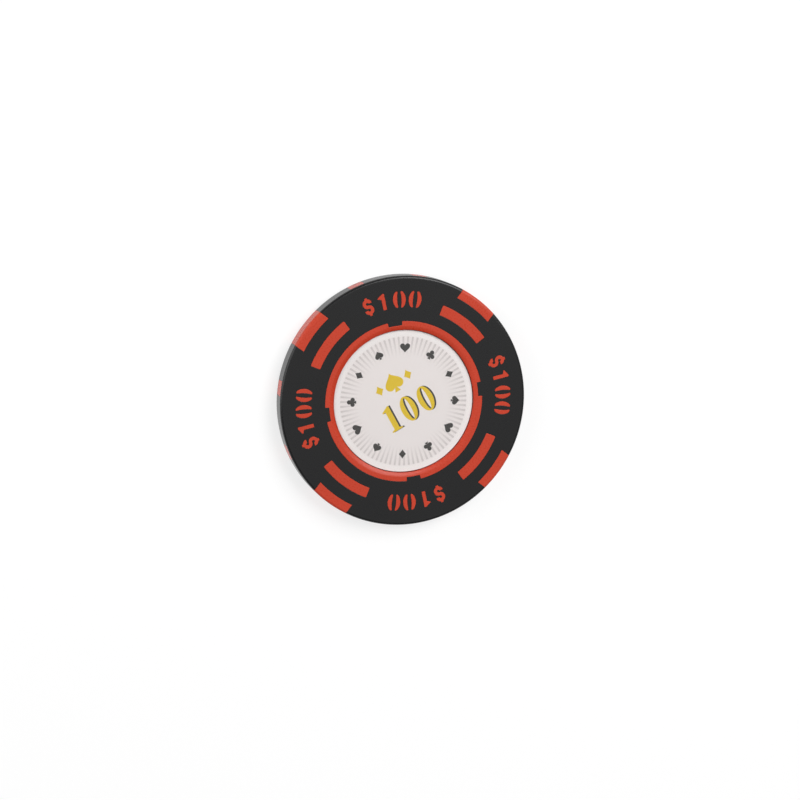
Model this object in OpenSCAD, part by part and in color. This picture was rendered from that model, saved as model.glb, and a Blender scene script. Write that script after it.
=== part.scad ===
// Poker chip: a steel slug inside a two-colour moulding, with a printed label in a recess on each face.
// Millimetres. The chip lies on its back face: +Z runs up through the front face, and the value marks
// are centred on the X and Y axes. Both faces are alike, the back one turned half a turn about X.

/* [Chip] */
// Diameter over the rim
chip_d = 40; // [38:0.1:46]
// Thickness over the two faces
chip_t = 3.3; // [3:0.1:4.5]
// Rounding between each face and the rim
edge_r = 0.45; // [0.1:0.05:0.8]
// How many times the pattern of a face repeats round the chip
repeats = 4; // [2:1:5]

/* [Core and slug] */
// Black wall outside the core's carrier disc
rim_wall = 1.8; // [1.2:0.1:2.2]
// Wall of the carrier disc outside the slug
slug_wall = 1.7; // [1.3:0.1:3]
// Floor of the carrier disc between the slug and each label
slug_floor = 0.25; // [0.15:0.05:0.4]
// Number of notches in the slug's edge that key it in the core
slug_keys = 4; // [2:1:8]
// Radius of each keying notch
slug_key_r = 1; // [0.5:0.1:1.5]
// Number of locating-pin marks in each floor, where the mould held the slug
pin_marks = 3; // [3:1:6]
// Diameter of a locating-pin mark
pin_mark_d = 1.5; // [0.8:0.1:2.5]
// Diameter of the circle that the locating-pin marks lie on
pin_circle_d = 12; // [6:0.5:18]
// Diameter of the holes that lock the black skins together through the carrier disc
lock_hole_d = 1; // [0.5:0.1:1.2]
// Angle from the middle of a value mark to the nearest locking hole
lock_angle = 23.5; // [20:0.5:26]

/* [Label] */
// Distance of the label's edge from the rim
label_inset = 8.65; // [7.2:0.05:11]
// Gap all round between the label and its recess
label_gap = 0.1; // [0.02:0.01:0.3]
// Depth of the label's face below the chip's face
label_depth = 0.4; // [0.1:0.05:0.6]
// Thickness of the adhesive
adhesive_t = 0.05; // [0.03:0.01:0.1]
// Thickness of the printed film
film_t = 0.1; // [0.05:0.01:0.2]
// Thickness of the clear laminate
laminate_t = 0.05; // [0.03:0.01:0.1]

/* [Label ring] */
// Width of the ring round the label
ring_w = 1.4; // [1:0.1:2]
// Width of the bevel on the ring's inner edge
bevel_w = 0.65; // [0.2:0.05:0.9]
// How far the bevel drops towards the label
bevel_drop = 0.2; // [0.05:0.05:0.35]
// Length of each notch in the ring's outer edge
notch_l = 2.3; // [1:0.05:4]
// Flat land of the ring left between the bevel and a notch
notch_land = 0.1; // [0.05:0.05:0.4]

/* [Arc bars] */
// Distance of the bars from the rim
bar_inset = 3.6; // [2.6:0.1:4]
// Width of a bar
bar_w = 1.65; // [1:0.05:1.9]
// Length of a bar along its middle
bar_l = 8.35; // [5:0.05:9]
// Corner radius of a bar
bar_corner_r = 0.3; // [0.1:0.05:0.45]

/* [Edge spots] */
// Width of an edge spot, between its parallel sides
spot_w = 6.45; // [4:0.05:8]
// How far an edge spot reaches in from the rim
spot_l = 1.65; // [1:0.05:2.2]

/* [Rim marks] */
// Width of a rim mark
mark_w = 2.4; // [1:0.1:3.5]
// Distance of a rim mark from each face
mark_inset = 0.5; // [0.3:0.05:1]
// Angle of the rim marks to each side of a value mark's middle
mark_angle = 15; // [10:0.5:20]

/* [Value marks] */
// Distance from the rim to the middle of the characters
value_inset = 3.7; // [3.4:0.05:3.9]
// Gap between two noughts at mid height
figure_gap = 0.46; // [0.2:0.02:0.6]
// Height of a figure
figure_h = 2.6; // [2:0.05:3]
// Width of a nought
nought_w = 2.1; // [1.9:0.02:2.4]
// Width of a nought's counter at mid height
counter_w = 0.7; // [0.5:0.05:0.9]
// Gap between a nought's two strokes at its top and bottom
stencil_gap = 0.4; // [0.2:0.05:0.45]
// Width of a nought's stroke at its tips
tip_w = 0.35; // [0.2:0.05:0.5]
// Width of the one's stem
stem_w = 0.6; // [0.5:0.02:1]
// Reach of the one's flag beyond its stem
flag_l = 0.7; // [0.3:0.05:0.8]
// Drop from the top of the one to the point of its flag
flag_drop = 0.65; // [0.4:0.05:0.9]
// Drop from the point of the flag to where its lower edge meets the stem
flag_t = 0.25; // [0.1:0.05:0.4]
// Width of the currency sign
sign_w = 1.55; // [1.4:0.05:1.7]
// Stroke of the currency sign
sign_stroke = 0.56; // [0.4:0.02:0.66]
// Width of the ticks above and below the currency sign
tick_w = 0.45; // [0.3:0.05:0.7]
// Height of the ticks
tick_h = 0.2; // [0.1:0.02:0.4]

/* [Hidden] */
$fn = 96;
chip_r = chip_d / 2;
step = 360 / repeats;

// Heights, as depths below a face
label_stack = adhesive_t + film_t + laminate_t;
recess_depth = label_depth + label_stack;
carrier_t = chip_t - 2 * recess_depth;
slug_t = carrier_t - 2 * slug_floor;

// Radii, from the rim inwards
carrier_r = chip_r - rim_wall;
slug_r = carrier_r - slug_wall;
lock_hole_r = (carrier_r + slug_r) / 2;
spot_r = chip_r - spot_l;
value_r = chip_r - value_inset;
value_pitch = nought_w + figure_gap;
bar_out_r = chip_r - bar_inset;
bar_in_r = bar_out_r - bar_w;
bar_half_angle = arc_angle(bar_l / 2, (bar_in_r + bar_out_r) / 2);

// Radii, from the label outwards
label_r = chip_r - label_inset;
ring_in_r = label_r + label_gap;
ring_out_r = ring_in_r + ring_w;
notch_r = ring_in_r + bevel_w + notch_land;
notch_half_angle = arc_angle(notch_l / 2, ring_out_r);

// Characters of a value mark, from left to right
characters = ["sign", "one", "nought", "nought"];

// Depth to which raised shapes run into the carrier disc that they stand on
root = 0.1;
// Distance that blanks and cuts run past the surface that trims or opens them
over = 1;
// Number of flats that round a bar's corner
corner_steps = 4;

// Angle that an arc of the given length spans at the given radius
function arc_angle(length, radius) = length / radius * 180 / PI;

// Radius of the arc that bulges by rise over a chord of twice the given half
function arc_radius(rise, half_chord) = (rise * rise + half_chord * half_chord) / (2 * rise);

// Places its children as they are on the front face, and again on the back face
module on_both_faces() {
    children();
    on_back_face() children();
}

// Turns its children half a turn about X, from the front face to the back face
module on_back_face() {
    translate([0, 0, chip_t]) rotate([180, 0, 0]) children();
}

// Places its children once for each repeat of the pattern, starting at the given angle
module round_chip(start) {
    for (i = [0 : repeats - 1]) rotate(start + i * step) children();
}

// Outline of a piece of a ring between two radii, centred on the X axis
module ring_piece(in_r, out_r, half_angle) {
    side = (out_r + over) / cos(half_angle) * [cos(half_angle), sin(half_angle)];
    intersection() {
        difference() {
            circle(out_r);
            circle(in_r);
        }
        polygon([[0, 0], [side.x, -side.y], side]);
    }
}

// Whole chip as a plain disc with rounded edges
module chip_blank() {
    rotate_extrude() {
        square([chip_r - edge_r, chip_t]);
        translate([0, edge_r]) square([chip_r, chip_t - 2 * edge_r]);
        for (z = [edge_r, chip_t - edge_r]) translate([chip_r - edge_r, z]) circle(edge_r);
    }
}

// Slug: a stamped disc with round notches in its edge
module slug_blank() {
    translate([0, 0, (chip_t - slug_t) / 2]) difference() {
        cylinder(r = slug_r, h = slug_t);
        for (i = [0 : slug_keys - 1])
            rotate(i * 360 / slug_keys) translate([slug_r, 0, -over])
                cylinder(r = slug_key_r, h = slug_t + 2 * over);
    }
}

// Carrier disc that joins everything in the core, with the locking holes through it
module carrier() {
    translate([0, 0, recess_depth]) difference() {
        cylinder(r = carrier_r, h = carrier_t);
        round_chip(0) for (side = [-1, 1])
            rotate(side * lock_angle) translate([lock_hole_r, 0, -over])
                cylinder(d = lock_hole_d, h = carrier_t + 2 * over);
    }
}

// Outline of the ring round the label, with the notches in its outer edge
module label_ring() {
    difference() {
        circle(ring_out_r);
        circle(ring_in_r);
        round_chip(0) ring_piece(notch_r, ring_out_r + over, notch_half_angle);
    }
}

// Cone that bevels the ring's inner edge on the front face
module ring_bevel() {
    slope = bevel_drop / bevel_w;
    rotate_extrude() polygon([
        [ring_in_r - over, chip_t - bevel_drop - over * slope],
        [ring_in_r + bevel_w + over, chip_t + over * slope],
        [ring_in_r - over, chip_t + over * slope],
    ]);
}

// Points along a corner's arc, from one direction to another
function corner_arc(centre, radius, from, to) = [
    for (i = [0 : corner_steps])
        let (angle = from + (to - from) * i / corner_steps)
            centre + radius * [cos(angle), sin(angle)]
];

// A line of points with its first and last stretch drawn out to twice their length
function drawn_out(points) =
    let (last = len(points) - 1)
    concat(
        [2 * points[0] - points[1]],
        [for (i = [1 : last - 1]) points[i]],
        [2 * points[last] - points[last - 1]]
    );

// Outline of an arc bar with rounded corners, centred on the X axis
module arc_bar() {
    in_r = bar_in_r + bar_corner_r;
    out_r = bar_out_r - bar_corner_r;
    in_angle = bar_half_angle - asin(bar_corner_r / in_r);
    out_angle = bar_half_angle - asin(bar_corner_r / out_r);
    square_to_end = bar_half_angle + 90;
    end = drawn_out(concat(
        corner_arc(in_r * [cos(in_angle), sin(in_angle)], bar_corner_r, in_angle + 180, square_to_end),
        corner_arc(out_r * [cos(out_angle), sin(out_angle)], bar_corner_r, square_to_end, out_angle)
    ));
    other_end = [for (i = [len(end) - 1 : -1 : 0]) [end[i].x, -end[i].y]];
    intersection() {
        difference() {
            circle(bar_out_r);
            circle(bar_in_r);
        }
        polygon(concat(end, [[bar_out_r / cos(bar_half_angle) + over, 0]], other_end));
    }
}

// Left stroke of a nought: between a strongly and a weakly curved arc, like a bracket
module nought_stroke() {
    half_h = figure_h / 2;
    out_r = arc_radius(nought_w / 2 - stencil_gap / 2 - tip_w, half_h);
    in_r = arc_radius(counter_w / 2 - stencil_gap / 2, half_h);
    intersection() {
        difference() {
            translate([out_r - nought_w / 2, 0]) circle(out_r);
            translate([in_r - counter_w / 2, 0]) circle(in_r);
        }
        translate([-nought_w, -half_h]) square([nought_w, figure_h]);
    }
}

// Nought made of two strokes
module nought() {
    nought_stroke();
    mirror([1, 0]) nought_stroke();
}

// One: a stem with a pointed flag
module one() {
    half_h = figure_h / 2;
    half_w = stem_w / 2;
    polygon([
        [half_w, -half_h],
        [half_w, half_h],
        [0, half_h],
        [-half_w - flag_l, half_h - flag_drop],
        [-half_w, half_h - flag_drop - flag_t],
        [-half_w, -half_h],
    ]);
}

// Upper bowl of the currency sign, a ring without its lower right quarter, and its tick
module sign_half() {
    out_r = sign_w / 2;
    bowl_r = out_r - sign_stroke / 2;
    translate([0, bowl_r]) {
        difference() {
            circle(out_r);
            circle(out_r - sign_stroke);
            translate([0, -sign_w]) square(sign_w);
        }
        translate([-tick_w / 2, bowl_r]) square([tick_w, sign_stroke / 2 + tick_h]);
    }
}

// Currency sign: the same half twice
module currency_sign() {
    sign_half();
    rotate(180) sign_half();
}

// Outline of a value mark on an arc, its two ends alike far from the X axis and its top outwards
module value_mark() {
    pitch_angle = arc_angle(value_pitch, value_r);
    centring_angle = arc_angle((nought_w - sign_w) / 4, value_r);
    last = len(characters) - 1;
    rotate(centring_angle - 90) for (i = [0 : last])
        rotate((last / 2 - i) * pitch_angle) translate([0, value_r]) {
            if (characters[i] == "sign") currency_sign();
            if (characters[i] == "one") one();
            if (characters[i] == "nought") nought();
        }
}

// Everything that stands on the carrier disc and shows on the front face, run past that face
module face_marks() {
    height = recess_depth + root + over;
    translate([0, 0, chip_t - recess_depth - root]) {
        linear_extrude(height) label_ring();
        round_chip(0) linear_extrude(height) value_mark();
        round_chip(step / 2) linear_extrude(height) arc_bar();
    }
}

// Outline of the part of a ring between two radii that is as wide as an edge spot
module spot_strip(in_r, out_r) {
    intersection() {
        difference() {
            circle(out_r);
            circle(in_r);
        }
        translate([0, -spot_w / 2]) square([out_r + over, spot_w]);
    }
}

// Edge spots with their necks from the carrier disc, run past the rim and the faces
module spot_blocks() {
    neck_r = min(carrier_r, spot_r) - root;
    round_chip(step / 2) {
        translate([0, 0, -over]) linear_extrude(chip_t + 2 * over) spot_strip(spot_r, chip_r + over);
        translate([0, 0, recess_depth]) linear_extrude(carrier_t) spot_strip(neck_r, spot_r + root);
    }
}

// Rim marks, as tabs from the carrier disc that run past the rim
module mark_blocks() {
    round_chip(0) for (side = [-1, 1])
        rotate(side * mark_angle) translate([carrier_r - root, -mark_w / 2, mark_inset])
            cube([rim_wall + root + over, mark_w, chip_t - 2 * mark_inset]);
}

// Space that the coloured core takes out of the chip
module core_blank() {
    carrier();
    on_both_faces() face_marks();
    spot_blocks();
    mark_blocks();
}

// Locating-pin marks through the floor under the front label
module pin_holes() {
    for (i = [0 : pin_marks - 1])
        rotate(i * 360 / pin_marks) translate([pin_circle_d / 2, 0, chip_t - recess_depth - slug_floor])
            cylinder(d = pin_mark_d, h = slug_floor + over);
}

// Recess for the front label
module label_well() {
    translate([0, 0, chip_t - recess_depth]) cylinder(r = ring_in_r, h = recess_depth + over);
}

// One layer of the front label, at a height above the floor of its recess
module label_layer(above_floor, thickness) {
    translate([0, 0, chip_t - recess_depth + above_floor]) cylinder(r = label_r, h = thickness);
}

// Steel slug that gives the chip its weight
module weight_slug() {
    color("#9a9ea3") slug_blank();
}

// First moulding: the carrier disc and every orange mark, in one piece
module colour_core() {
    color("#c94a35") difference() {
        intersection() {
            chip_blank();
            core_blank();
        }
        on_both_faces() {
            ring_bevel();
            pin_holes();
        }
        slug_blank();
    }
}

// Second moulding: the black skins and rim that fill the rest of the chip
module outer_body() {
    color("#2f2f31") difference() {
        chip_blank();
        core_blank();
        on_both_faces() label_well();
    }
}

module front_label_adhesive() {
    color("#d8d2bd") label_layer(0, adhesive_t);
}

module front_label_film() {
    color("#e6e0de") label_layer(adhesive_t, film_t);
}

module front_label_laminate() {
    color("#f2f4f6", 0.4) label_layer(adhesive_t + film_t, laminate_t);
}

module back_label_adhesive() {
    on_back_face() front_label_adhesive();
}

module back_label_film() {
    on_back_face() front_label_film();
}

module back_label_laminate() {
    on_back_face() front_label_laminate();
}

weight_slug();
colour_core();
outer_body();
front_label_adhesive();
front_label_film();
front_label_laminate();
back_label_adhesive();
back_label_film();
back_label_laminate();
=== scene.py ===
"""Looks of a poker chip: a two-colour moulding with a printed label in a recess on each face.

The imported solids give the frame. The two mouldings and the labels' films are replaced by surfaces with eased
edges, and the print is added. Lengths are millimetres until a mesh is made, and angles are degrees.
"""
import math

import bmesh
import bpy
import numpy as np
from mathutils import Matrix, Vector
from mathutils.geometry import delaunay_2d_cdt


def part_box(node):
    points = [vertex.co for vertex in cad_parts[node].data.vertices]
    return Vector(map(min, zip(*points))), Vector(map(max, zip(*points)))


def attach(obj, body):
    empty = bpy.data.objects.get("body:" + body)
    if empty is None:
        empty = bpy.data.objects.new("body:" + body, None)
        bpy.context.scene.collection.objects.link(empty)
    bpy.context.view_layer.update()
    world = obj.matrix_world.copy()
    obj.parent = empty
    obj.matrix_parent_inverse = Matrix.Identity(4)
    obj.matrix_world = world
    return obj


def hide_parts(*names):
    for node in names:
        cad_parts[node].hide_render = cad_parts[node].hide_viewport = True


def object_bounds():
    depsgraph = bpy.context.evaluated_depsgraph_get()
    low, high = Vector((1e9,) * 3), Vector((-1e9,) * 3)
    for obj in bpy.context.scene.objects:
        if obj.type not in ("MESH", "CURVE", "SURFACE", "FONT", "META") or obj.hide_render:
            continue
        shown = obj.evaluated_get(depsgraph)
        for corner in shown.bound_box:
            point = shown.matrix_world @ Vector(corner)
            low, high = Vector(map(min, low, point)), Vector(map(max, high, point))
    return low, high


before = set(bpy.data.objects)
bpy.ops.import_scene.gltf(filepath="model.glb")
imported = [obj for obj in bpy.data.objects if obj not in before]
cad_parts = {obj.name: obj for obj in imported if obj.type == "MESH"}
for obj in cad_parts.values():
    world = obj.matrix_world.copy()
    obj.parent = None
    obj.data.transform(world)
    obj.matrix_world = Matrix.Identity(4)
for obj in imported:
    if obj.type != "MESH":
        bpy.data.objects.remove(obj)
cad_low, cad_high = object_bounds()

MM = 0.001

# Chip: its overall sizes and the label's come from the frame
chip_r = cad_high.x / MM
chip_t = cad_high.z / MM
film_low, film_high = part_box("front_label_film")
label_r = film_high.x / MM
film_low_z = film_low.z / MM
film_high_z = film_high.z / MM
edge_r = 0.45
repeats = 4
step = 360 / repeats

# Marks of the second colour, all placed from the rim inwards
spot_w = 6.45
spot_l = 1.65
mark_w = 2.4
mark_inset = 0.5
mark_angle = 15
bar_inset = 3.6
bar_w = 1.65
bar_l = 8.35
bar_corner_r = 0.3
bar_out_r = chip_r - bar_inset
bar_in_r = bar_out_r - bar_w
value_inset = 3.7
value_r = chip_r - value_inset
figure_h = 2.6
nought_w = 2.1
counter_w = 0.7
stencil_gap = 0.4
tip_w = 0.35
figure_gap = 0.46
value_pitch = nought_w + figure_gap
stem_w = 0.6
flag_l = 0.7
flag_drop = 0.65
flag_t = 0.25
sign_w = 1.55
sign_stroke = 0.56
tick_w = 0.45
tick_h = 0.2

# Ring round the label
label_gap = 0.1
ring_w = 1.4
bevel_w = 0.65
bevel_drop = 0.12
crest_drop = 0.004
notch_land = 0.1
notch_l = 2.3
ring_in_r = label_r + label_gap
ring_out_r = ring_in_r + ring_w
notch_r = ring_in_r + bevel_w + notch_land

# Joint between the two plastics: a small round on each side of a fine gap, and how deep the pockets go
lip_r = 0.036
border = 0.01
joint_gap = 0.006
margin = lip_r + border
recess_depth = 0.6
pad_depth = recess_depth - joint_gap
spot_depth = 0.4
slab_t = spot_depth - joint_gap
figure_corner_r = 0.12
ring_corner_r = 0.15

# Print on the label, whose upright stands turned from the chip's +Y
label_turn = 21.6
print_step = 0.003
laminate_gap = 4 * print_step
print_depth = chip_t - film_high_z + laminate_gap
number_pitch = 3.15
number_h = 4.3
number_x = 0.15
number_y = -1.45
number_corner_r = 0.08
zero_w = 2.45
zero_hole_w = 0.82
zero_thin = 0.25
shadow_shift = (0.28, -0.06)
motif_y = 3.55
motif_spade_h = 3.3
motif_diamond_h = 1.7
motif_diamond_x = 2.6
motif_diamond_drop = 0.1
suit_count = 12
suit_h = 1.5
suit_r = 8.5

# View: how far the camera leans from upright, which way in the picture, and how the chip is turned there
view_lean = 18.1
view_side = -32.3
chip_turn = 8.25
view_distance = 332
pixels_per_mm = 6.33
picture_px = 800
sensor_mm = 36
face_centre_px = (404.5, 401.75)

# Edge profile of the chip, measured from mid height
wall_half = chip_t / 2 - edge_r
round_l = edge_r * math.pi / 2
face_start = wall_half + round_l
spot_reach = face_start + spot_l - edge_r


# Plane outlines

def unit(vectors):
    """Vectors divided by their lengths."""
    return vectors / np.linalg.norm(vectors, axis=-1, keepdims=True)


def turned(points, angle):
    """Points turned about the Z axis, or about the origin of their plane."""
    cosine = math.cos(math.radians(angle))
    sine = math.sin(math.radians(angle))
    result = np.array(points, float)
    result[..., 0] = cosine * points[..., 0] - sine * points[..., 1]
    result[..., 1] = sine * points[..., 0] + cosine * points[..., 1]
    return result


def arc(centre, radius, start, end, count):
    """Points on a circle's arc, evenly from one angle to another, both ends included."""
    angle = np.radians(np.linspace(start, end, count))
    return np.array(centre) + radius * np.stack([np.cos(angle), np.sin(angle)], 1)


def arc_angle(length, radius):
    """Angle that an arc of the given length spans at the given radius."""
    return math.degrees(length / radius)


def arc_radius(rise, half_chord):
    """Radius of the arc that bulges by rise over a chord of twice the given half."""
    return (rise ** 2 + half_chord ** 2) / (2 * rise)


def eased(outline, radius, steps=5):
    """Closed outline whose corners become parabolas.

    A corner V with start A and end B on its two edges is replaced by (1-t)^2 A + 2t(1-t) V + t^2 B. A and B
    lie where a round of the given radius touches the edges, or nearer on a short edge. Slight turns stay.
    """
    least_turn = math.radians(20)
    most_turn = 3
    edge_share = 0.45
    before = np.roll(outline, 1, 0) - outline
    after = np.roll(outline, -1, 0) - outline
    shorter = np.minimum(np.linalg.norm(before, axis=1), np.linalg.norm(after, axis=1))
    turn = np.pi - np.arccos(np.clip((unit(before) * unit(after)).sum(1), -1, 1))
    sharp = turn > least_turn
    full_reach = radius * np.tan(np.minimum(turn, most_turn) / 2)
    reach = np.minimum(full_reach, edge_share * shorter)[:, None]
    start = (outline + unit(before) * reach)[:, None]
    end = (outline + unit(after) * reach)[:, None]
    t = np.linspace(0, 1, steps)[None, :, None]
    curve = (1 - t) ** 2 * start + 2 * t * (1 - t) * outline[:, None] + t ** 2 * end
    curve[~sharp] = outline[~sharp][:, None]
    keep = sharp[:, None] | (np.arange(steps) == 0)
    return curve[keep]


def outward(outline):
    """Mitred normal at each point of a counter-clockwise outline.

    It is the sum of the two edges' normals over one plus their dot product, so that each edge moves by the
    offset.
    """
    edge = unit(np.roll(outline, -1, 0) - outline)
    normal = np.stack([edge[:, 1], -edge[:, 0]], 1)
    previous = np.roll(normal, 1, 0)
    return (normal + previous) / (1 + (normal * previous).sum(1, keepdims=True))


def rectangle(across, along):
    """Closed loop round a grid: along its first row, up its last column, back, and down its first column."""
    first = np.stack([across, np.full_like(across, along[0])], 1)
    right = np.stack([np.full_like(along, across[-1]), along], 1)
    last = np.stack([across[::-1], np.full_like(across, along[-1])], 1)
    left = np.stack([np.full_like(along, across[0]), along[::-1]], 1)
    return np.concatenate([first[:-1], right[:-1], last[:-1], left[:-1]])


def circle(radius, count=240):
    """Counter-clockwise circle about the origin."""
    return arc((0, 0), radius, 0, 360 * (1 - 1 / count), count)


# Outlines of the marks on a face

def bar_outline():
    """Arc bar centred on the X axis: two arcs joined by radial ends, with eased corners."""
    half = arc_angle(bar_l / 2, (bar_in_r + bar_out_r) / 2)
    outer = arc((0, 0), bar_out_r, -half, half, count=40)
    inner = arc((0, 0), bar_in_r, half, -half, count=40)
    corner_room = arc_angle(bar_corner_r, bar_in_r)
    ends = np.abs(np.degrees(np.arctan2(outer[:, 1], outer[:, 0]))) < half - corner_room
    ends[[0, -1]] = True
    return eased(np.concatenate([outer[ends], inner[ends]]), bar_corner_r)


def nought_strokes():
    """Two brackets of a stencilled nought.

    Each lies between a strongly and a weakly curved arc, and its half width falls as a semicircle at the
    tips.
    """
    row_count = 29
    half_h = figure_h / 2
    outer_r = arc_radius(nought_w / 2 - stencil_gap / 2 - tip_w, half_h)
    inner_r = arc_radius(counter_w / 2 - stencil_gap / 2, half_h)
    height = half_h * np.sin(np.linspace(-np.pi / 2, np.pi / 2, row_count))
    outer = outer_r - nought_w / 2 - np.sqrt(outer_r ** 2 - height ** 2)
    inner = inner_r - counter_w / 2 - np.sqrt(inner_r ** 2 - height ** 2)
    past = np.clip((np.abs(height) - half_h + tip_w / 2) / (tip_w / 2), 0, 1)
    half_w = (inner - outer) / 2 * np.sqrt(1 - past ** 2)
    middle = (inner + outer) / 2
    right = np.stack([middle + half_w, height], 1)
    left = np.stack([middle - half_w, height], 1)
    stroke = np.concatenate([right, left[-2:0:-1]])
    return [stroke, -stroke]


def one_outline():
    """One with a pointed flag."""
    half_h = figure_h / 2
    half_w = stem_w / 2
    corners = np.array([
        [half_w, -half_h],
        [half_w, half_h],
        [0, half_h],
        [-half_w - flag_l, half_h - flag_drop],
        [-half_w, half_h - flag_drop - flag_t],
        [-half_w, -half_h],
    ])
    return eased(corners, figure_corner_r)


def sign_outline():
    """Currency sign: the same half twice, each an outer bowl with a tick, then the other half's inner bowl.

    The arcs stop short of a bowl's open end, which leaves room for its eased corners.
    """
    outer_r = sign_w / 2
    inner_r = outer_r - sign_stroke
    bowl_r = outer_r - sign_stroke / 2
    room = 2 * figure_corner_r
    tick_angle = math.degrees(math.acos(tick_w / 2 / outer_r))
    top = bowl_r + outer_r + tick_h
    open_end = np.array([[outer_r, bowl_r]])
    right = arc((0, bowl_r), outer_r, arc_angle(room, outer_r), tick_angle, count=8)
    tick = np.array([[tick_w / 2, top], [-tick_w / 2, top]])
    left = arc((0, bowl_r), outer_r, 180 - tick_angle, 270, count=19)
    other_bowl = arc((0, -bowl_r), inner_r, 90, arc_angle(room, inner_r) - 180, count=19)
    other_end = np.array([[-inner_r, -bowl_r]])
    half = np.concatenate([open_end, right, tick, left, other_bowl[1:], other_end])
    return eased(np.concatenate([half, -half]), figure_corner_r)


def value_outlines():
    """Value mark on an arc, its two ends alike far from the X axis and its top outwards."""
    characters = [[sign_outline()], [one_outline()], nought_strokes(), nought_strokes()]
    pitch = arc_angle(value_pitch, value_r)
    centring = arc_angle((nought_w - sign_w) / 4, value_r)
    outlines = []
    for place, character in enumerate(characters):
        across = (len(characters) - 1) / 2 - place
        angle = across * pitch + centring - 90
        outlines += [turned(stroke + [0, value_r], angle) for stroke in character]
    return outlines


def ring_outline():
    """Outer outline of the label's ring: arcs at two radii by turns, joined by radial sides."""
    half = arc_angle(notch_l / 2, ring_out_r)
    notch = arc((0, 0), notch_r, -half, half, count=14)
    land = arc((0, 0), ring_out_r, half, step - half, count=64)
    quarter = np.concatenate([notch, land])
    return eased(np.concatenate([turned(quarter, i * step) for i in range(repeats)]), ring_corner_r)


def round_chip(outlines, start=0):
    """The same outlines once for each repeat of the pattern."""
    return [turned(outline, start + i * step) for i in range(repeats) for outline in outlines]


def small_marks():
    """Outlines of every bar and character on a face."""
    return round_chip(value_outlines()) + round_chip([bar_outline()], step / 2)


# Surfaces from outlines

lip_count = 6
quarter_turn = np.radians(np.linspace(0, 90, lip_count))
lip = lip_r * (1 - np.stack([np.sin(quarter_turn), np.cos(quarter_turn)], 1))


def pocket_profile(depth):
    """Offsets and depths from a flat border on the face, over a rounded lip and down a wall."""
    return np.concatenate([[[margin, 0]], lip, [[0, depth]]])


def pad_profile(depth):
    """Offsets and depths up a pad's wall, over its rounded edge to a flat border on its top."""
    edge = lip[::-1] * [-1, 1] - [joint_gap, 0]
    return np.concatenate([[[-joint_gap, depth]], edge, [[-joint_gap - margin, 0]]])


def carried(outline, profile):
    """Profile of offsets and depths carried along an outline, as one ring of points for each pair."""
    ring = outline + profile[:, None, :1] * outward(outline)
    depth = np.broadcast_to(profile[:, None, 1:], ring.shape[:2] + (1,))
    return np.concatenate([ring, depth], 2)


def grid_faces(rows, columns, closed=False):
    """Quads of a grid of points, whose rows may close on themselves."""
    index = np.arange(rows * columns).reshape(rows, columns)
    if closed:
        index = np.concatenate([index, index[:, :1]], 1)
    return np.stack([index[:-1, :-1], index[:-1, 1:], index[1:, 1:], index[1:, :-1]], -1)


def within(points, loop):
    """Which points lie inside a closed loop: those with an odd number of its edges to their right."""
    x, y = points[:, :1], points[:, 1:]
    ends = np.roll(loop, -1, 0)
    crossed = (loop[:, 1] > y) != (ends[:, 1] > y)
    rise = np.where(crossed, ends[:, 1] - loop[:, 1], 1)
    meets = loop[:, 0] + (y - loop[:, 1]) / rise * (ends[:, 0] - loop[:, 0])
    return (crossed & (x < meets)).sum(1) % 2 == 1


def filled(loops):
    """Triangles of the flat region inside the first loop and outside the others, into their joined points.

    They come from a constrained triangulation of all the loops, less those whose middle lies elsewhere.
    """
    keep_inside = 1
    tolerance = 1e-9
    points = np.concatenate(loops)
    edges = []
    start = 0
    for loop in loops:
        index = start + np.arange(len(loop))
        edges += np.stack([index, np.roll(index, -1)], 1).tolist()
        start += len(loop)
    corners = [Vector(point) for point in points]
    _, _, faces, sources, _, _ = delaunay_2d_cdt(corners, edges, [], keep_inside, tolerance)
    triangles = np.array([source[0] for source in sources])[np.array(faces)]
    middle = points[triangles].mean(1)
    keep = within(middle, loops[0])
    for loop in loops[1:]:
        keep &= ~within(middle, loop)
    return triangles[keep]


def joined(parts):
    """Points and faces of several parts as one."""
    points = np.concatenate([part[0].reshape(-1, 3) for part in parts])
    faces = []
    start = 0
    for part_points, *part_faces in parts:
        for group in part_faces:
            faces += (group.reshape(-1, group.shape[-1]) + start).tolist()
        start += part_points.size // 3
    return points, faces


def pocket(outline, profile):
    """Lip, wall and floor of a blind pocket, as points with depths, and their faces."""
    rings = carried(outline, profile)
    rows, columns = rings.shape[:2]
    floor = filled([rings[-1, :, :2]]) + (rows - 1) * columns
    return rings, grid_faces(rows, columns, closed=True), floor


def pad(bounds):
    """Closed pad: each loop carries its profile from the bottom to the top, and two flat fills close it.

    The first loop runs counter-clockwise round the pad, and the others clockwise round its holes.
    """
    rings = [carried(loop, profile) for loop, profile in bounds]
    walls = [(ring, grid_faces(*ring.shape[:2], closed=True)) for ring in rings]
    fills = []
    for end in (0, -1):
        edge = np.concatenate([ring[end] for ring in rings])
        fills.append((edge, filled([ring[end, :, :2] for ring in rings])))
    return joined(walls + fills)


def spread(half, count):
    """Places from one border of a slab to the other: close over each rounded edge, even between."""
    edge = np.append(lip[::-1, 0], margin) - half
    middle = np.linspace(edge[-1], -edge[-1], count)
    return np.concatenate([edge, middle[1:-1], -edge[::-1]])


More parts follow.
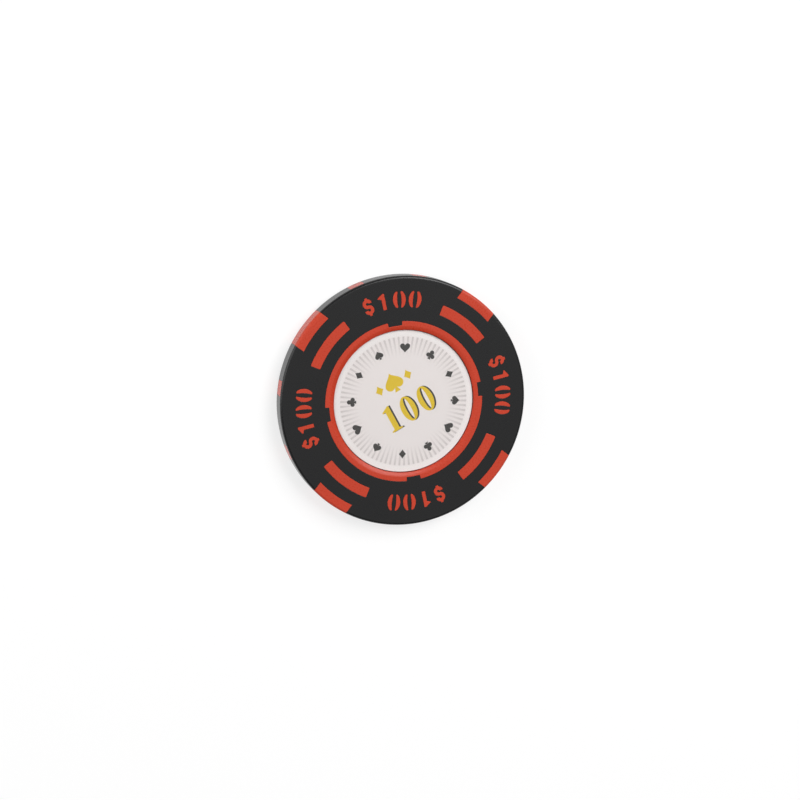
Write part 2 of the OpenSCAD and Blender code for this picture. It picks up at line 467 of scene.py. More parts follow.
def slab(chart, across, along, thickness):
    """Closed slab on a curved surface: a grid whose depth rounds off at its border, and its underside.

    Within the edge radius e of the border the depth is e - sqrt(e^2 - h^2), with h the reach into that zone.
    """
    x, y = np.meshgrid(across, along)
    into_x = np.clip(lip_r - (across[-1] - np.abs(x)), 0, lip_r)
    into_y = np.clip(lip_r - (along[-1] - np.abs(y)), 0, lip_r)
    reach = np.minimum(np.hypot(into_x, into_y), lip_r)
    depth = lip_r - np.sqrt(lip_r ** 2 - reach ** 2)
    top = chart(x, y, depth)
    bottom = chart(x, y, np.full_like(depth, thickness))
    count = x.size
    index = np.arange(count).reshape(x.shape)
    loop = np.concatenate([index[0, :-1], index[:-1, -1], index[-1, :0:-1], index[:0:-1, 0]])
    onward = np.roll(loop, -1)
    sides = np.stack([loop, onward, onward + count, loop + count], 1)
    faces = grid_faces(*x.shape)
    return np.concatenate([top.reshape(-1, 3), bottom.reshape(-1, 3)]), faces, faces + count, sides


# Places on the chip

def on_front(points):
    """Points with depths placed below the front face."""
    return np.concatenate([points[..., :2], chip_t - points[..., 2:]], -1)


def on_back(points):
    """Points of the front turned half a turn about X, onto the back."""
    return points * [1, -1, -1] + [0, 0, chip_t]


def edge_section(q, depth):
    """Radius and height on the chip's edge, at a distance q along it from mid height.

    The edge is a straight wall, then a quarter round, then the flat face. A depth moves all of it inwards.
    """
    past = np.abs(q) - wall_half
    angle = np.clip(past / edge_r, 0, np.pi / 2)
    radius = chip_r - edge_r + (edge_r - depth) * np.cos(angle) - np.maximum(past - round_l, 0)
    height = np.minimum(np.abs(q), wall_half) + (edge_r - depth) * np.sin(angle)
    return radius, chip_t / 2 + np.sign(q) * height


def rim_chart(angle, q, depth):
    """Points at an angle round the chip and a distance along its edge."""
    radius, height = edge_section(q, depth)
    return np.stack([radius * np.cos(angle), radius * np.sin(angle), height], -1)


def spot_chart(y, q, depth):
    """Points at a distance y from the X axis and a distance q along the edge.

    At the edge's radius r, x is sqrt(r^2 - y^2), so that a spot's straight sides stay parallel.
    """
    radius, height = edge_section(q, depth)
    return np.stack([np.sqrt(radius ** 2 - y ** 2), y, height], -1)


def wall_chart(s, q, depth):
    """Points at an arc length s round the rim's wall and a distance along the edge."""
    return rim_chart(s / chip_r, q, depth)


# Grids of the rim between two spots, centred on the X axis, and of a spot's pocket
rim_counts = [16, 8, 26, 8, 16]
window_sections = (1, 3)
wall_count = 5
round_count = 9
spot_end_count = 6
spot_count = 21
window_half_h = chip_t / 2 - mark_inset
window_half = math.asin((mark_w / 2 + margin) / chip_r)
rim_half = math.radians(step / 2) - math.asin((spot_w / 2 + margin) / chip_r)
window_mid = math.radians(mark_angle)
rim_breaks = [-rim_half, -window_mid - window_half, -window_mid + window_half]
rim_breaks += [-angle for angle in rim_breaks[::-1]]
rim_starts = np.cumsum([0] + rim_counts)
rim_sections = zip(rim_breaks, rim_breaks[1:], rim_counts)
rim_columns = [np.linspace(start, end, count, endpoint=False) for start, end, count in rim_sections]
rim_columns = np.concatenate(rim_columns + [[rim_half]])
round_rows = wall_half + np.linspace(0, round_l, round_count)
window_top = window_half_h + margin
face_row = face_start + border
row_slack = border / 10
upper_rows = np.concatenate([np.linspace(0, window_top, wall_count)[1:], round_rows, [face_row]])
rim_rows = np.concatenate([-upper_rows[::-1], [0], upper_rows])
spot_rows = np.linspace(face_row, spot_reach + margin, spot_end_count)[1:]
spot_rows = np.concatenate([-spot_rows[::-1], rim_rows, spot_rows])
spot_columns = np.linspace(-spot_w / 2 - margin, spot_w / 2 + margin, spot_count)


def rim_grid():
    """Points of the rim between two spots, whose end columns keep the spots' straight sides."""
    radius, _ = edge_section(rim_rows, 0)
    half = math.radians(step / 2) - np.arcsin((spot_w / 2 + margin) / radius)
    angle = half[:, None] * rim_columns / rim_half
    return rim_chart(angle, rim_rows[:, None] + 0 * angle, 0)


def window_rows():
    """First and last row of the rim marks' windows."""
    inside = np.flatnonzero(np.abs(rim_rows) < window_top + row_slack)
    return inside[0], inside[-1]


def rim_part():
    """Rim between two spots with its two windows, each with a lip, walls and a floor."""
    faces = grid_faces(len(rim_rows), len(rim_columns))
    low, high = window_rows()
    keep = np.ones(faces.shape[:2], bool)
    parts = []
    for section in window_sections:
        left, right = rim_starts[section], rim_starts[section + 1]
        keep[low:high, left:right] = False
        across = rim_columns[left:right + 1] * chip_r
        loop = rectangle(across, rim_rows[low:high + 1])
        rings, walls, floor = pocket(loop, pocket_profile(spot_depth) - [margin, 0])
        parts.append((wall_chart(rings[..., 0], rings[..., 1], rings[..., 2]), walls, floor))
    return joined([(rim_grid(), faces[keep])] + parts)


def spot_part():
    """Pocket of an edge spot, which runs from one face over the rim to the other."""
    loop = rectangle(spot_columns, spot_rows)
    rings, walls, floor = pocket(loop, pocket_profile(spot_depth) - [margin, 0])
    return joined([(spot_chart(rings[..., 0], rings[..., 1], rings[..., 2]), walls, floor)])


def face_edge():
    """Outer edge of the flat face: round each spot's pocket, then along the rim to the next."""
    loop = rectangle(spot_columns, spot_rows)
    front = loop[loop[:, 1] > face_row - row_slack]
    spot = spot_chart(front[:, 0], front[:, 1], 0)[::-1, :2]
    rim = rim_grid()[-1, 1:-1, :2]
    quarter = np.concatenate([turned(spot, step / 2), turned(rim, step)])
    return np.concatenate([turned(quarter, i * step) for i in range(repeats)])


def black_face():
    """Front face of the black moulding, with a pocket for each mark and one for the label and its ring."""
    outlines = small_marks() + [ring_outline()]
    pockets = [pocket(outline, pocket_profile(recess_depth)) for outline in outlines]
    loops = [face_edge()] + [rings[0, :, :2] for rings, _, _ in pockets]
    flat = np.concatenate(loops)
    flat = np.concatenate([flat, np.zeros_like(flat[:, :1])], 1)
    points, faces = joined([(flat, filled(loops))] + pockets)
    return on_front(points), faces


def on_both(part):
    """A part of the front and its copy on the back."""
    points, faces = part
    return [(points, faces), (on_back(points), faces)]


def around(part, start=0):
    """A part once for each repeat of the pattern."""
    points, faces = part
    return [(turned(points, start + i * step), faces) for i in range(repeats)]


def merged(parts):
    """Points and faces of parts whose faces are already lists."""
    points = np.concatenate([part[0] for part in parts])
    faces = []
    start = 0
    for part_points, part_faces in parts:
        faces += [[corner + start for corner in face] for face in part_faces]
        start += len(part_points)
    return points, faces


def black_moulding():
    """Second moulding: two faces and the rim, with the pockets that the first colour fills."""
    return merged(on_both(black_face()) + around(rim_part()) + around(spot_part(), step / 2))


def ring_pad():
    """Ring round the label, with a bevel that falls to its inner edge."""
    wall = np.array([[-joint_gap, pad_depth], [-joint_gap, bevel_drop + lip_r]])
    brow = lip[::-1][1:4] * [-1, 1] + [-joint_gap, bevel_drop]
    crest = np.array([[-bevel_w + border, crest_drop], [-bevel_w - border, 0], [-bevel_w - 2 * border, 0]])
    inner = circle(ring_in_r)[::-1]
    return pad([(ring_outline(), pad_profile(pad_depth)), (inner, np.concatenate([wall, brow, crest]))])


def spot_slab():
    """Edge spot: a slab from one face over the rim to the other, with close rows over both rounds."""
    end_rows = 10
    across = spread(spot_w / 2 - joint_gap, spot_count)
    ends = spread(spot_reach - joint_gap, count=8)
    rounds = np.concatenate([round_rows, [face_row]])
    wall = np.linspace(-wall_half, wall_half, num=9)[1:-1]
    along = np.concatenate([ends[:end_rows], -rounds[::-1], wall, rounds, ends[-end_rows:]])
    return joined([slab(spot_chart, across, np.unique(along.round(6)), slab_t)])


def mark_slab():
    """Rim mark: a slab on the rim's wall."""
    across = spread(mark_w / 2 - joint_gap, count=9)
    along = spread(window_half_h - joint_gap, count=7)
    return joined([slab(wall_chart, across, along, slab_t)])


def orange_moulding():
    """First moulding where it shows: pads for the marks and the ring, slabs for edge spots and rim marks."""
    face_pads = [pad([(outline, pad_profile(pad_depth))]) for outline in small_marks()] + [ring_pad()]
    parts = []
    for points, faces in face_pads:
        parts += on_both((on_front(points), faces))
    parts += around(spot_slab(), step / 2)
    parts += around(mark_slab(), mark_angle) + around(mark_slab(), -mark_angle)
    return merged(parts)


# Print on the label

def number_zero():
    """Nought of two ellipses, the inner one clockwise."""
    angle = np.linspace(0, 2 * np.pi, 64, endpoint=False)
    round_loop = np.stack([np.cos(angle), np.sin(angle)], 1)
    hole_h = number_h - 2 * zero_thin
    return [round_loop * [zero_w / 2, number_h / 2], round_loop[::-1] * [zero_hole_w / 2, hole_h / 2]]


def number_one():
    """Upright one with a pointed flag and a thin foot."""
    stem = 0.45
    foot = 0.95
    peak = 0.2
    top = number_h / 2
    flag_top = top - 0.62
    flag_tip = top - 0.86
    flag_root = top - 0.74
    foot_top = -top + 0.2
    foot_root = -top + 0.34
    corners = np.array([
        [foot, -top],
        [foot, foot_top],
        [stem, foot_root],
        [stem, top],
        [peak, top],
        [-foot, flag_top],
        [-foot, flag_tip],
        [-stem, flag_root],
        [-stem, foot_root],
        [-foot, foot_top],
        [-foot, -top],
    ])
    return eased(corners, number_corner_r)


def number_loops():
    """Loops of the printed value, character by character."""
    characters = [[number_one()], number_zero(), number_zero()]
    return [
        [loop + [(place - 1) * number_pitch + number_x, number_y] for loop in loops]
        for place, loops in enumerate(characters)
    ]


def heart_curve(start, end, count):
    """Heart, clockwise from its notch: x = 16 sin^3 t, y = 13 cos t - 5 cos 2t - 2 cos 3t - cos 4t."""
    t = np.linspace(start, end, count)
    x = 16 * np.sin(t) ** 3
    y = 13 * np.cos(t) - 5 * np.cos(2 * t) - 2 * np.cos(3 * t) - np.cos(4 * t)
    return np.stack([x, y], 1)


def heart_outline(size):
    """Heart of the given height, centred."""
    curve_h = 29
    curve_mid = -2.5
    return (heart_curve(0, 2 * np.pi, count=49)[:0:-1] - [0, curve_mid]) * size / curve_h


def spade_outline(size):
    """Spade of the given height: a heart upside down with a flared stem out of its notch."""
    curve_tip = 17
    foot_x = 5
    notch = math.radians(27)
    body = -heart_curve(notch, 2 * np.pi - notch, count=47)
    foot = np.array([[foot_x, -curve_tip], [-foot_x, -curve_tip]])
    return np.concatenate([body, foot])[::-1] * size / (2 * curve_tip)


def diamond_outline(size):
    """Diamond of the given height, its sides slightly hollow: |x|^0.9 + |y|^0.9 = 1, stretched."""
    half_w = 0.4
    half_h = 0.5
    power = 2 / 0.9
    t = np.linspace(0, 2 * np.pi, 32, endpoint=False)
    x = np.sign(np.cos(t)) * np.abs(np.cos(t)) ** power
    y = np.sign(np.sin(t)) * np.abs(np.sin(t)) ** power
    return np.stack([x * half_w, y * half_h], 1) * size


def club_outline(size):
    """Club of the given height: three lobes about a middle, and a flared stem."""
    lobe_r = 0.235 * size
    top_y = 0.265 * size
    side_x = 0.25 * size
    side_y = -0.11 * size
    foot_x = 0.2 * size
    foot_y = -0.5 * size
    top = arc((0, top_y), lobe_r, -40, 220, count=16)
    left = arc((-side_x, side_y), lobe_r, 80, 330, count=16)
    right = arc((side_x, side_y), lobe_r, 210, 460, count=16)
    stem = np.array([[-foot_x, foot_y], [foot_x, foot_y]])
    return np.concatenate([top, left, stem, right])


def printed(loops, lift):
    """Ink of the given loops as a film-thin pad, its top a few steps of print above the label's film."""
    profile = np.array([[0, print_depth + print_step], [0, print_depth - lift * print_step]])
    return pad([(turned(loop, label_turn), profile) for loop in loops])


def gold_print():
    """Value, and a spade between two diamonds above it."""
    diamond = diamond_outline(motif_diamond_h) + [0, motif_y - motif_diamond_drop]
    motifs = [spade_outline(motif_spade_h) + [0, motif_y]]
    motifs += [diamond + [side * motif_diamond_x, 0] for side in (-1, 1)]
    bounds = number_loops() + [[motif] for motif in motifs]
    return [printed(loops, lift=2) for loops in bounds]


def dark_print():
    """Shadow of the value, and card suits evenly all round the label."""
    bounds = [[loop + shadow_shift for loop in loops] for loops in number_loops()]
    suits = [spade_outline, heart_outline, club_outline, diamond_outline]
    for place in range(suit_count):
        suit = suits[place % len(suits)](suit_h) + [0, suit_r]
        bounds.append([turned(suit, -place * 360 / suit_count)])
    return [printed(loops, lift=1) for loops in bounds]


def film_pad():
    """Label film: a thin disc with an eased edge, its printed face just under the laminate."""
    ease = 0.01
    edge_drop = 4 * print_step
    profile = np.array([
        [0, chip_t - film_low_z],
        [0, print_depth + edge_drop],
        [-ease, print_depth + print_step],
        [-3 * ease, print_depth],
        [-5 * ease, print_depth],
    ])
    return pad([(circle(label_r), profile)])


# Materials

def linear(colour):
    """Linear RGBA of an sRGB hex colour."""
    channels = [int(colour[i:i + 2], 16) / 255 for i in (1, 3, 5)]
    return [c / 12.92 if c <= 0.04045 else ((c + 0.055) / 1.055) ** 2.4 for c in channels] + [1]


def add(tree, kind, inputs=None, **settings):
    """Adds a node with its settings, and sets or links its inputs."""
    node = tree.nodes.new(kind)
    for name, value in settings.items():
        setattr(node, name, value)
    for name, value in (inputs or {}).items():
        if isinstance(value, bpy.types.NodeSocket):
            tree.links.new(value, node.inputs[name])
        else:
            node.inputs[name].default_value = value
    return node


def new_tree(name):
    """Material with an empty node tree, its output, and its object coordinates."""
    material = bpy.data.materials.new(name)
    material.use_nodes = True
    tree = material.node_tree
    tree.nodes.clear()
    output = add(tree, "ShaderNodeOutputMaterial")
    place = add(tree, "ShaderNodeTexCoord").outputs["Object"]
    return material, tree, output, place


def per_metre(size_mm):
    """Scale of a noise whose features are the given size."""
    return 1 / (size_mm * MM)


def polar(tree, place):
    """Separate coordinates of a place, and its distance from the chip's axis."""
    axes = add(tree, "ShaderNodeSeparateXYZ", {"Vector": place}).outputs
    flat = add(tree, "ShaderNodeCombineXYZ", {"X": axes["X"], "Y": axes["Y"]})
    radius = add(tree, "ShaderNodeVectorMath", {0: flat.outputs["Vector"]}, operation="LENGTH")
    return axes, radius.outputs["Value"]


def moulded_abs(name, colour, worn_colour, specular):
    """Mineral-filled ABS, moulded in a spark-eroded cavity.

    The filler and the cavity's pitted skin give a dry satin that softens every reflection. The fine pits are
    0.1 mm in the tool and are drawn at 0.3 mm, so that they show. The rounded edges wear a little paler.
    """
    roughness = 0.28
    roughness_spread = 0.06
    wear_start = 0.9
    wear_end = 0.1
    wear_down = 0.3
    wear_share = 0.35
    material, tree, output, place = new_tree(name)
    pits = add(tree, "ShaderNodeTexNoise", {"Vector": place, "Scale": per_metre(0.3), "Detail": 3.0})
    cloud = add(tree, "ShaderNodeTexNoise", {"Vector": place, "Scale": per_metre(5), "Detail": 2.0})
    axes, radius = polar(tree, place)
    from_mid = add(tree, "ShaderNodeMath", {0: axes["Z"], 1: chip_t / 2 * MM}, operation="SUBTRACT")
    off_mid = add(tree, "ShaderNodeMath", {0: from_mid.outputs["Value"]}, operation="ABSOLUTE")
    near_rim = add(tree, "ShaderNodeMapRange", {
        "Value": radius,
        "From Min": (chip_r - wear_start) * MM, "From Max": (chip_r - wear_end) * MM})
    near_face = add(tree, "ShaderNodeMapRange", {
        "Value": off_mid.outputs["Value"],
        "From Min": (wall_half - wear_down) * MM, "From Max": (chip_t / 2 - wear_end) * MM})
    edge = add(tree, "ShaderNodeMath", {
        0: near_rim.outputs["Result"], 1: near_face.outputs["Result"]}, operation="MULTIPLY")
    worn = add(tree, "ShaderNodeMath", {
        0: edge.outputs["Value"], 1: cloud.outputs["Fac"]}, operation="MULTIPLY")
    wear = add(tree, "ShaderNodeMath", {0: worn.outputs["Value"], 1: wear_share}, operation="MULTIPLY")
    tint = add(tree, "ShaderNodeMix", {
        "Factor": wear.outputs["Value"], 6: linear(colour), 7: linear(worn_colour)}, data_type="RGBA")
    shade = add(tree, "ShaderNodeMapRange", {
        "Value": cloud.outputs["Fac"], "To Min": 0.94, "To Max": 1.06})
    body = add(tree, "ShaderNodeVectorMath", {
        0: tint.outputs[2], "Scale": shade.outputs["Result"]}, operation="SCALE")
    gloss = add(tree, "ShaderNodeMapRange", {
        "Value": pits.outputs["Fac"],
        "To Min": roughness - roughness_spread, "To Max": roughness + roughness_spread})
    bump = add(tree, "ShaderNodeBump", {
        "Height": pits.outputs["Fac"], "Strength": 0.06, "Distance": 0.01 * MM})
    shader = add(tree, "ShaderNodeBsdfPrincipled", {
        "Base Color": body.outputs["Vector"], "Roughness": gloss.outputs["Result"],
        "Normal": bump.outputs["Normal"], "IOR": 1.5, "Specular IOR Level": specular})
    tree.links.new(shader.outputs["BSDF"], output.inputs["Surface"])
    return material


def printed_film():
    """Pearl PVC film, litho printed with a fine grey sunburst under the laminate.

    The pearl gives a soft warm white, and the rays are thin wedges that fade towards the middle.
    """
    ray_count = 82
    ray_start_r = 7.1
    ray_full_r = 10.1
    ray_end_r = (10.3, 10.38)
    border_r = (10.2, 10.6)
    material, tree, output, place = new_tree("pearl_pvc_litho_printed")
    axes, radius = polar(tree, place)
    angle = add(tree, "ShaderNodeMath", {0: axes["Y"], 1: axes["X"]}, operation="ARCTAN2")
    turns = add(tree, "ShaderNodeMath", {0: angle.outputs["Value"], 1: ray_count}, operation="MULTIPLY")
    wave = add(tree, "ShaderNodeMath", {0: turns.outputs["Value"]}, operation="COSINE")
    ray = add(tree, "ShaderNodeMapRange", {
        "Value": wave.outputs["Value"], "From Min": 0.1, "From Max": 0.5})
    fade = add(tree, "ShaderNodeMapRange", {
        "Value": radius, "From Min": ray_start_r * MM, "From Max": ray_full_r * MM})
    stop = add(tree, "ShaderNodeMapRange", {
        "Value": radius, "From Min": ray_end_r[1] * MM, "From Max": ray_end_r[0] * MM})
    seen = add(tree, "ShaderNodeMath", {
        0: ray.outputs["Result"], 1: fade.outputs["Result"]}, operation="MULTIPLY")
    inked = add(tree, "ShaderNodeMath", {
        0: seen.outputs["Value"], 1: stop.outputs["Result"]}, operation="MULTIPLY")
    rim = add(tree, "ShaderNodeMapRange", {
        "Value": radius, "From Min": border_r[0] * MM, "From Max": border_r[1] * MM})
    ground = add(tree, "ShaderNodeMix", {
        "Factor": rim.outputs["Result"], 6: linear("#e6dfdd"), 7: linear("#ece7e5")}, data_type="RGBA")
    colour = add(tree, "ShaderNodeMix", {
        "Factor": inked.outputs["Value"], 6: ground.outputs[2], 7: linear("#cdc5c3")}, data_type="RGBA")
    pearl = add(tree, "ShaderNodeTexNoise", {"Vector": place, "Scale": per_metre(0.4), "Detail": 2.0})
    gloss = add(tree, "ShaderNodeMapRange", {
        "Value": pearl.outputs["Fac"], "To Min": 0.4, "To Max": 0.5})
    shader = add(tree, "ShaderNodeBsdfPrincipled", {
        "Base Color": colour.outputs[2], "Roughness": gloss.outputs["Result"], "IOR": 1.5})
    tree.links.new(shader.outputs["BSDF"], output.inputs["Surface"])
    return material


def screen_ink(name, light, dark, roughness):
    """Screen-printed ink: an even layer whose pigment gives a faint speckle.

    The speckle is 0.05 mm in the ink and is drawn at 0.2 mm, so that it shows.
    """
    roughness_spread = 0.05
    material, tree, output, place = new_tree(name)
    pigment = add(tree, "ShaderNodeTexNoise", {"Vector": place, "Scale": per_metre(0.2), "Detail": 2.0})
    colour = add(tree, "ShaderNodeMix", {
        "Factor": pigment.outputs["Fac"], 6: linear(dark), 7: linear(light)}, data_type="RGBA")
    gloss = add(tree, "ShaderNodeMapRange", {
        "Value": pigment.outputs["Fac"],
        "To Min": roughness - roughness_spread, "To Max": roughness + roughness_spread})
    shader = add(tree, "ShaderNodeBsdfPrincipled", {
        "Base Color": colour.outputs[2], "Roughness": gloss.outputs["Result"]})
    tree.links.new(shader.outputs["BSDF"], output.inputs["Surface"])
    return material


def clear_laminate():
    """Clear polypropylene laminate, rolled on: it adds a sharp, faint gloss and hides nothing."""
    material, tree, output, place = new_tree("polypropylene_laminate_clear")
    ripple = add(tree, "ShaderNodeTexNoise", {"Vector": place, "Scale": per_metre(3), "Detail": 1.0})
    bump = add(tree, "ShaderNodeBump", {
        "Height": ripple.outputs["Fac"], "Strength": 0.1, "Distance": 0.01 * MM})
    clear = add(tree, "ShaderNodeBsdfTransparent")
    gloss = add(tree, "ShaderNodeBsdfGlossy", {"Roughness": 0.12, "Normal": bump.outputs["Normal"]})
    fresnel = add(tree, "ShaderNodeFresnel", {"IOR": 1.49})
    side = add(tree, "ShaderNodeNewGeometry").outputs["Backfacing"]
    front = add(tree, "ShaderNodeMath", {0: 1.0, 1: side}, operation="SUBTRACT")
    share = add(tree, "ShaderNodeMath", {
        0: fresnel.outputs["Fac"], 1: front.outputs["Value"]}, operation="MULTIPLY")
    shader = add(tree, "ShaderNodeMixShader", {
        "Fac": share.outputs["Value"], 1: clear.outputs["BSDF"], 2: gloss.outputs["BSDF"]})
    tree.links.new(shader.outputs["Shader"], output.inputs["Surface"])
    return material


def acrylic_adhesive():
    """Acrylic pressure-sensitive adhesive: a hazy, tacky film the colour of weak tea."""
    material, tree, output, place = new_tree("acrylic_adhesive_coated")
    haze = add(tree, "ShaderNodeTexNoise", {"Vector": place, "Scale": per_metre(0.8), "Detail": 3.0})
    colour = add(tree, "ShaderNodeMix", {
        "Factor": haze.outputs["Fac"], 6: linear("#cfc6ad"), 7: linear("#ded8c6")}, data_type="RGBA")
    shader = add(tree, "ShaderNodeBsdfPrincipled", {
        "Base Color": colour.outputs[2], "Roughness": 0.35, "IOR": 1.47})
    tree.links.new(shader.outputs["BSDF"], output.inputs["Surface"])
    return material


def stamped_steel():
    """Mild steel strip, rolled and stamped: grey metal with fine lines along the rolling."""
    material, tree, output, place = new_tree("mild_steel_rolled_stamped")
    drawn = add(tree, "ShaderNodeMapping", {"Vector": place, "Scale": (0.05, 1.0, 1.0)})
    lines = add(tree, "ShaderNodeTexNoise", {
        "Vector": drawn.outputs["Vector"], "Scale": per_metre(0.15), "Detail": 3.0})
    colour = add(tree, "ShaderNodeMix", {
        "Factor": lines.outputs["Fac"], 6: linear("#8d9196"), 7: linear("#b3b7bb")}, data_type="RGBA")
    gloss = add(tree, "ShaderNodeMapRange", {
        "Value": lines.outputs["Fac"], "To Min": 0.3, "To Max": 0.5})
    shader = add(tree, "ShaderNodeBsdfPrincipled", {
        "Base Color": colour.outputs[2], "Roughness": gloss.outputs["Result"], "Metallic": 1.0})
    tree.links.new(shader.outputs["BSDF"], output.inputs["Surface"])
    return material


# Pieces

def piece(name, shape, material, slot, *nodes):
    """Mesh piece that rides on the chip: welded, faces outwards, smooth apart from its real corners."""
    weld = 0.0002 * MM
    corner_angle = 40
    points, faces = shape
    mesh = bpy.data.meshes.new(name)
    mesh.from_pydata(points * MM, [], faces)
    shell = bmesh.new()
    shell.from_mesh(mesh)
    bmesh.ops.remove_doubles(shell, verts=shell.verts, dist=weld)
    loose = [point for point in shell.verts if not point.link_faces]
    bmesh.ops.delete(shell, geom=loose, context="VERTS")
    bmesh.ops.recalc_face_normals(shell, faces=shell.faces)
    shell.to_mesh(mesh)
    shell.free()
    mesh.shade_smooth()
    mesh.set_sharp_from_angle(angle=math.radians(corner_angle))
    mesh.materials.append(material)
    obj = bpy.data.objects.new(name, mesh)
    bpy.context.scene.collection.objects.link(obj)
    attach(obj, "root")
    if nodes:
        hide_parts(*nodes)


def dress(node, material):
    """Gives a CAD node that stays in view its material."""
    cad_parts[node].material_slots[0].material = material


def on_side(part, side):
    """A part with depths placed on the front or the back."""
    points, faces = part
    front = on_front(points)
    return (front if side == "front" else on_back(front)), faces


black_plastic = moulded_abs("abs_black_mineral_filled", "#171718", "#222223", 0.35)
orange_plastic = moulded_abs("abs_orange_mineral_filled", "#c4412b", "#cf523c", 0.22)
film = printed_film()
gold_ink = screen_ink("gold_ink_screen_printed", "#e4c61c", "#d0ac0e", 0.4)
dark_ink = screen_ink("black_ink_screen_printed", "#3a3733", "#2b2826", 0.5)
laminate = clear_laminate()
adhesive = acrylic_adhesive()

piece("black_moulding", black_moulding(), black_plastic, "black_plastic", "outer_body")
piece("orange_moulding", orange_moulding(), orange_plastic, "orange_plastic", "colour_core")
dress("weight_slug", stamped_steel())
for side in ("front", "back"):
    piece(f"{side}_film", on_side(film_pad(), side), film, "label_film", f"{side}_label_film")
    piece(f"{side}_gold_print", on_side(merged(gold_print()), side), gold_ink, "label_film")
    piece(f"{side}_dark_print", on_side(merged(dark_print()), side), dark_ink, "label_film")
    dress(f"{side}_label_laminate", laminate)
    dress(f"{side}_label_adhesive", adhesive)


# Studio

def studio_floor():
    """White paper sweep: flat under the chip and curved up all round, a profile turned about Z, in metres."""
    flat_rings = [0.02, 0.3, 1.0]
    flat_r = 1.9
    sweep_r = 0.45
    sweep_angle = 80
    chip_gap = 0.02 * MM
    lift = np.radians(np.linspace(0, sweep_angle, 13))
    radius = np.concatenate([flat_rings, flat_r + sweep_r * np.sin(lift)])
    height = np.concatenate([np.zeros(len(flat_rings)), sweep_r * (1 - np.cos(lift))]) - chip_gap
    angle = np.radians(np.linspace(0, 360, 96, endpoint=False))
    points = np.stack([
        radius[:, None] * np.cos(angle), radius[:, None] * np.sin(angle),
        np.broadcast_to(height[:, None], (len(radius), len(angle)))], -1)
    faces = grid_faces(*points.shape[:2], closed=True).reshape(-1, 4).tolist()
    faces.append(list(range(len(angle))))
    mesh = bpy.data.meshes.new("studio_floor")
    mesh.from_pydata(points.reshape(-1, 3), [], faces)
    shell = bmesh.new()
    shell.from_mesh(mesh)
    bmesh.ops.recalc_face_normals(shell, faces=shell.faces)
    shell.to_mesh(mesh)
    shell.free()
    mesh.shade_smooth()
    mesh.materials.append(studio_paper())
    obj = bpy.data.objects.new("studio_floor", mesh)
    bpy.context.scene.collection.objects.link(obj)


def studio_paper():
    """White paper: the camera sees it white with the chip's shadow, and reflections see it plain white.

    Other rays meet a plain diffuse white, so that it throws back as much light as paper does.
    """
    material, tree, output, _ = new_tree("studio_paper_white")
    path = add(tree, "ShaderNodeLightPath")
    mirrored = add(tree, "ShaderNodeMath", {
        0: path.outputs["Is Glossy Ray"], 1: path.outputs["Is Transmission Ray"]}, operation="MAXIMUM")
    paper = add(tree, "ShaderNodeBsdfDiffuse", {"Color": (0.85, 0.85, 0.85, 1)})
    shadowed = add(tree, "ShaderNodeBsdfDiffuse", {"Color": (0.3, 0.3, 0.3, 1)})
    glow = add(tree, "ShaderNodeEmission", {"Color": (1, 1, 1, 1), "Strength": 0.72})
    plain = add(tree, "ShaderNodeEmission", {"Color": (1, 1, 1, 1), "Strength": 1.0})
    shown = add(tree, "ShaderNodeAddShader", {0: shadowed.outputs["BSDF"], 1: glow.outputs["Emission"]})
    seen = add(tree, "ShaderNodeMixShader", {
        "Fac": path.outputs["Is Camera Ray"], 1: paper.outputs["BSDF"], 2: shown.outputs["Shader"]})
    mix = add(tree, "ShaderNodeMixShader", {
        "Fac": mirrored.outputs["Value"], 1: seen.outputs["Shader"], 2: plain.outputs["Emission"]})
    tree.links.new(mix.outputs["Shader"], output.inputs["Surface"])
    return material


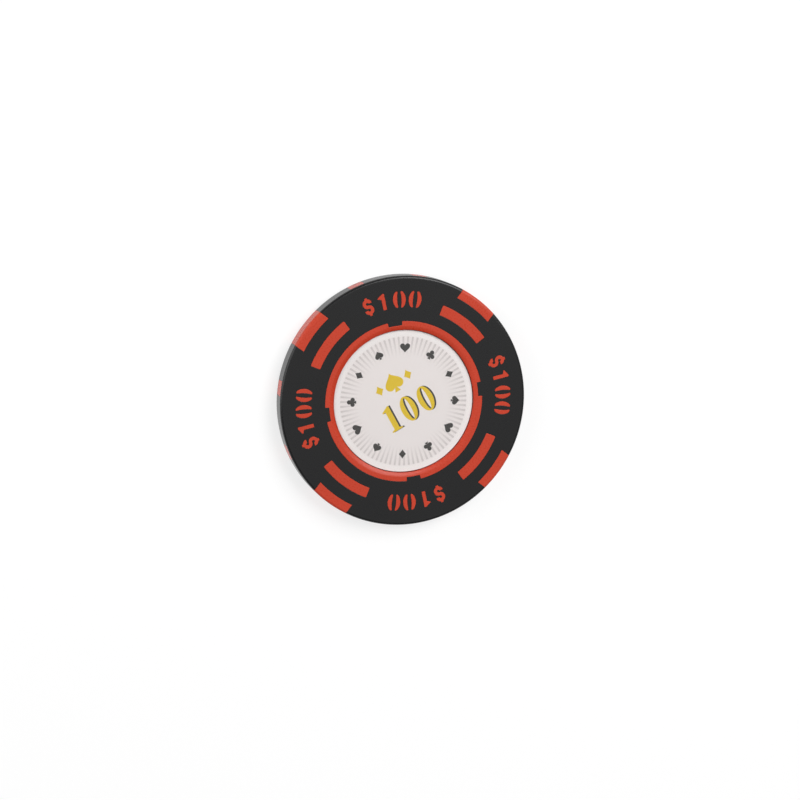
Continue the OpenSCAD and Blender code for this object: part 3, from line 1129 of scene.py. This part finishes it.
def studio_sky():
    """Soft overhead light: a dim room that brightens towards the ceiling."""
    world = bpy.data.worlds.new("studio_sky")
    world.use_nodes = True
    tree = world.node_tree
    tree.nodes.clear()
    direction = add(tree, "ShaderNodeTexCoord").outputs["Generated"]
    axes = add(tree, "ShaderNodeSeparateXYZ", {"Vector": direction})
    level = add(tree, "ShaderNodeMapRange", {
        "Value": axes.outputs["Z"], "From Min": 0.7, "From Max": 0.92, "To Min": 0.03, "To Max": 0.69})
    light = add(tree, "ShaderNodeBackground", {
        "Color": (1, 1, 1, 1), "Strength": level.outputs["Result"]})
    output = add(tree, "ShaderNodeOutputWorld")
    tree.links.new(light.outputs["Background"], output.inputs["Surface"])
    bpy.context.scene.world = world


def softbox(name, picture_angle, elevation, distance, size, irradiance):
    """Square lamp that faces the chip from an angle in the picture, at a distance in metres.

    A small lamp of power P gives a plane that faces it P / (pi distance^2), which sets P for the irradiance.
    """
    azimuth = math.radians(picture_angle - chip_turn)
    rise = math.radians(elevation)
    flat = math.cos(rise)
    toward = Vector((flat * math.cos(azimuth), flat * math.sin(azimuth), math.sin(rise)))
    data = bpy.data.lights.new(name, "AREA")
    data.size = size
    data.energy = irradiance * math.pi * distance ** 2
    obj = bpy.data.objects.new(name, data)
    facing = toward.to_track_quat("Z", "Y").to_matrix().to_4x4()
    obj.matrix_world = Matrix.Translation(toward * distance) @ facing
    bpy.context.scene.collection.objects.link(obj)


def photo_camera():
    """Camera at the photograph's angle, distance and scale."""
    turn = Matrix.Rotation(math.radians(view_side - chip_turn), 4, "Z")
    lean = Matrix.Rotation(math.radians(-view_lean), 4, "Y")
    roll = Matrix.Rotation(math.radians(-view_side), 4, "Z")
    axes = turn @ lean @ roll
    place = axes @ Vector((0, 0, view_distance)) + Vector((0, 0, chip_t))
    data = bpy.data.cameras.new("photo_camera")
    data.sensor_width = sensor_mm
    data.lens = pixels_per_mm * view_distance / picture_px * sensor_mm
    data.shift_x = 0.5 - face_centre_px[0] / picture_px
    data.shift_y = face_centre_px[1] / picture_px - 0.5
    data.clip_start = 0.01
    camera = bpy.data.objects.new("photo_camera", data)
    camera.matrix_world = Matrix.Translation(place * MM) @ axes
    bpy.context.scene.collection.objects.link(camera)
    bpy.context.scene.camera = camera


studio_floor()
studio_sky()
softbox("key_softbox", picture_angle=50, elevation=50, distance=0.7, size=0.45, irradiance=2.62)
softbox("fill_softbox", picture_angle=165, elevation=25, distance=0.8, size=0.65, irradiance=1.6)
photo_camera()
bpy.context.scene.view_settings.view_transform = "Standard"
